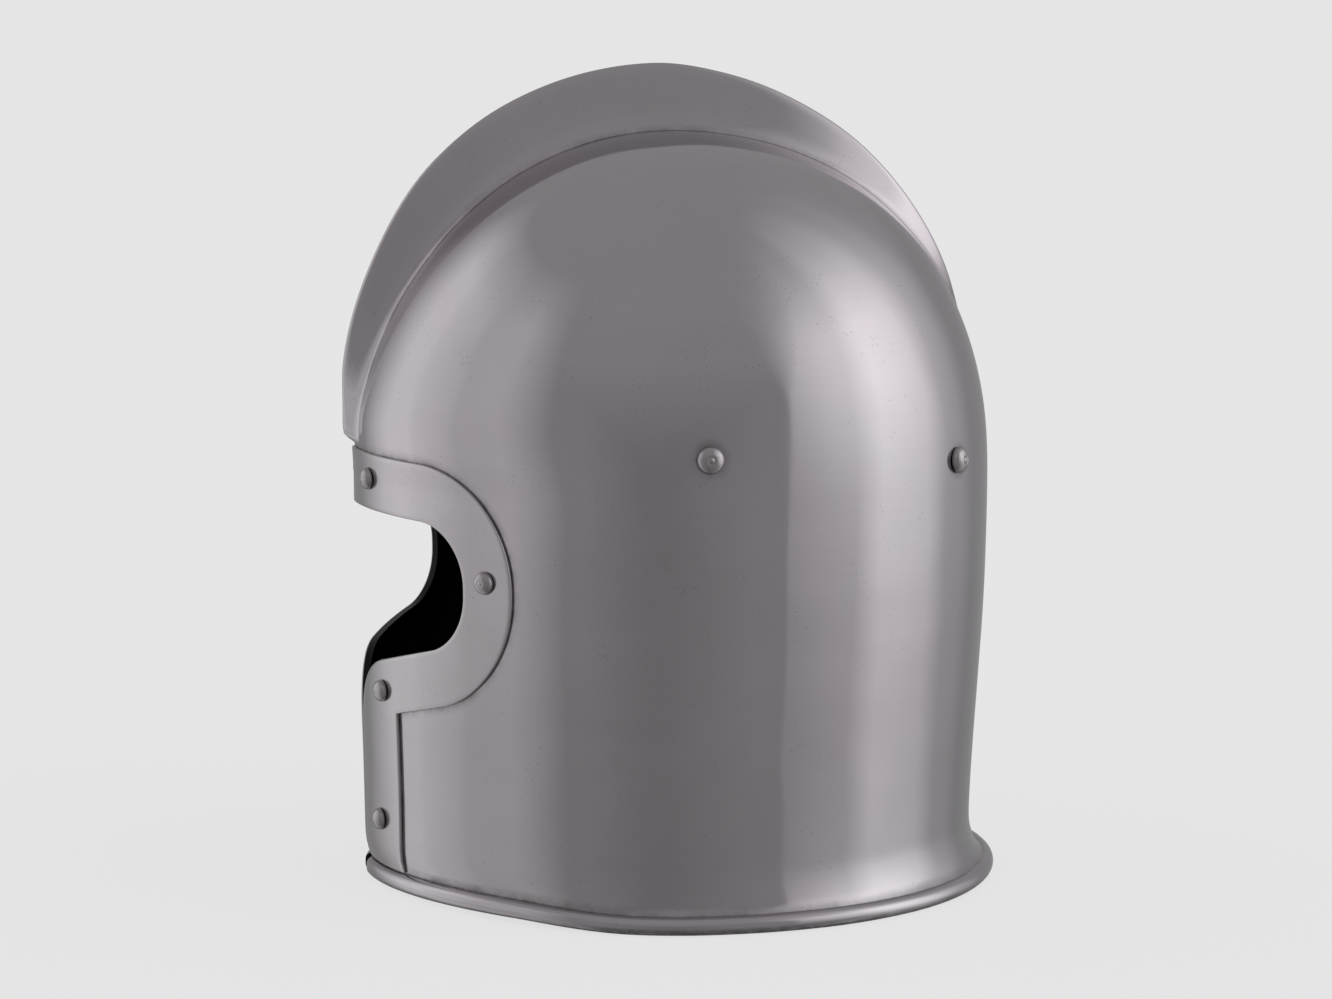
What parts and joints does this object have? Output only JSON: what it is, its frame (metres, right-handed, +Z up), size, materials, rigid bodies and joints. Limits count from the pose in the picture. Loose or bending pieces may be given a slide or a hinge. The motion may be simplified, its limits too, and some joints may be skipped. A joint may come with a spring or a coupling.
{
  "type": "barbute helmet",
  "caption": "Steel barbute with a tall curved comb, a wide T-shaped face opening framed by a riveted band, straight cheeks, a flared neck and a rolled rim.",
  "frame": {"origin": "on the ground the rim stands on, under the middle of the helmet's outline", "axes": "+Z up, -Y the wearer's front, +X the wearer's left"},
  "size_m": [0.216, 0.2453, 0.2996],
  "materials": {
    "skull_steel": "satin brushed bare steel outside, gloss black paint inside",
    "band_steel": "satin brushed bare steel",
    "rivet_steel": "satin steel, hammered heads"
  },
  "bodies": {
    "root": {"skull": "skull_steel", "face_band": "band_steel", "rivet_brow_left": "rivet_steel", "rivet_brow_right": "rivet_steel", "rivet_eye_left": "rivet_steel", "rivet_eye_right": "rivet_steel", "rivet_cheek_upper_left": "rivet_steel", "rivet_cheek_upper_right": "rivet_steel", "rivet_cheek_lower_left": "rivet_steel", "rivet_cheek_lower_right": "rivet_steel", "rivet_side_left": "rivet_steel", "rivet_side_right": "rivet_steel", "rivet_rear_left": "rivet_steel", "rivet_rear_right": "rivet_steel"}
  },
  "joints": []
}
